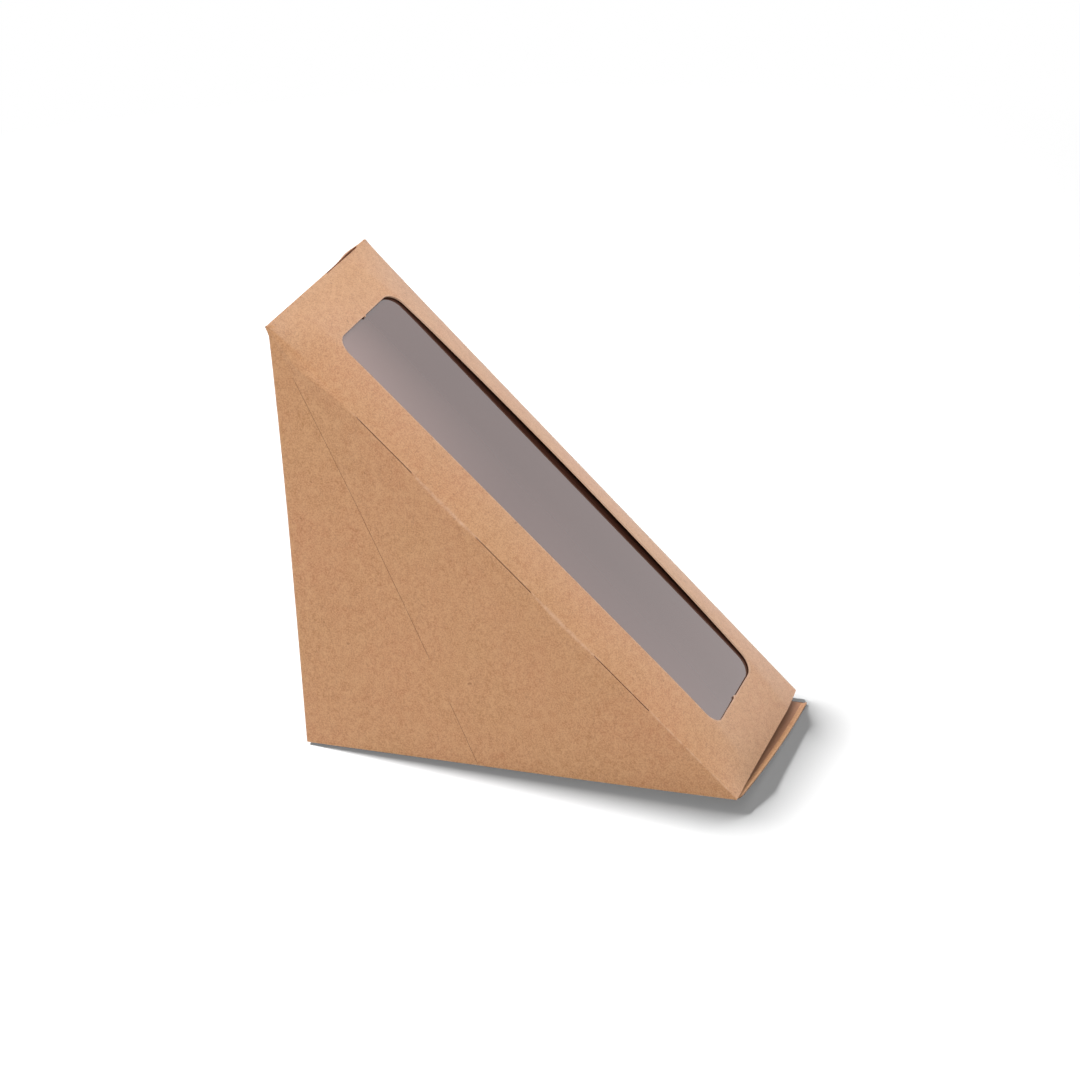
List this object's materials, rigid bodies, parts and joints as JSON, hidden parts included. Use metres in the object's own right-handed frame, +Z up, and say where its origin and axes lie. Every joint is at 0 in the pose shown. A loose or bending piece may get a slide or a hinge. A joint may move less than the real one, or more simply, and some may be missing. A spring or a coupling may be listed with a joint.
{
  "type": "sandwich wedge pack",
  "caption": "Triangular kraft board pack with a long film window in its sloping front panel and a tuck-in base lid that swings down.",
  "frame": {"origin": "centre of the bounding box's footprint, on the surface the pack stands on", "axes": "+Z up; +X from the near side panel to the far one, along the hinge; the window faces -Y and the upright back panel is at +Y"},
  "size_m": [0.065, 0.1296, 0.1255],
  "materials": {
    "kraft_board": "uncoated brown kraft, fine fibre mottling",
    "clear_film": "thin clear film, satin"
  },
  "bodies": {
    "carton": {"carton": "kraft_board", "window_film": "clear_film"},
    "base_lid": {"base_lid": "kraft_board"}
  },
  "joints": [
    {"name": "lid_hinge", "type": "hinge", "parent": "carton", "child": "base_lid", "pos_m": [0, 0.06239, 0.0008], "axis": [1, 0, 0], "range_deg": [0, 120]}
  ]
}
